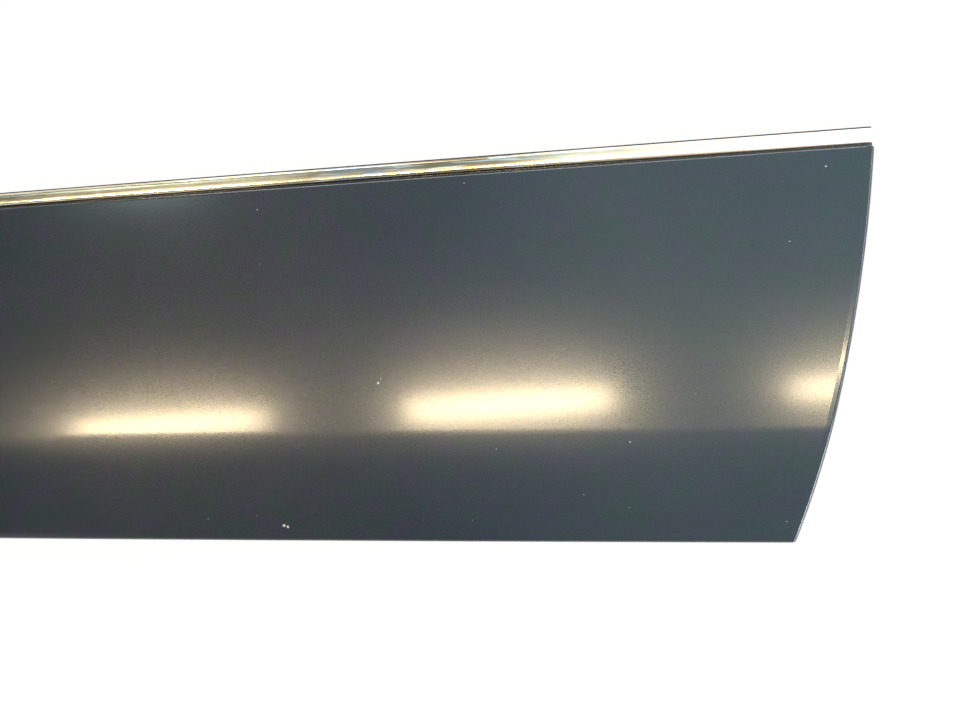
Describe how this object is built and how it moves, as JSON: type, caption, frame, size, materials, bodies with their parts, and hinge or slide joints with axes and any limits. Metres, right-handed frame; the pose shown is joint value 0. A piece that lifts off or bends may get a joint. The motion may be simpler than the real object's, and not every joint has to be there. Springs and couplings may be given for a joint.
{
  "type": "car body side moulding",
  "caption": "Moulded lower side cladding for a car door: a creased, bowed shell with one arched end, clip seats on its back and a bright strip snapped along its upper edge.",
  "frame": {"origin": "under the middle of the outline, on the level that the two ends' rims stand on, where the moulding lies on its back", "axes": "+X along the door towards the arched end, +Y up the door towards the bright strip, +Z out of the door"},
  "size_m": [1.0398, 0.2236, 0.0282],
  "materials": {
    "satin_painted_plastic": "satin dark blue-grey paint over moulded plastic",
    "bright_strip_metal": "bright rolled stainless steel with fine lengthwise scratches"
  },
  "bodies": {
    "root": {"moulding_panel": "satin_painted_plastic", "bright_strip": "bright_strip_metal"}
  },
  "joints": []
}
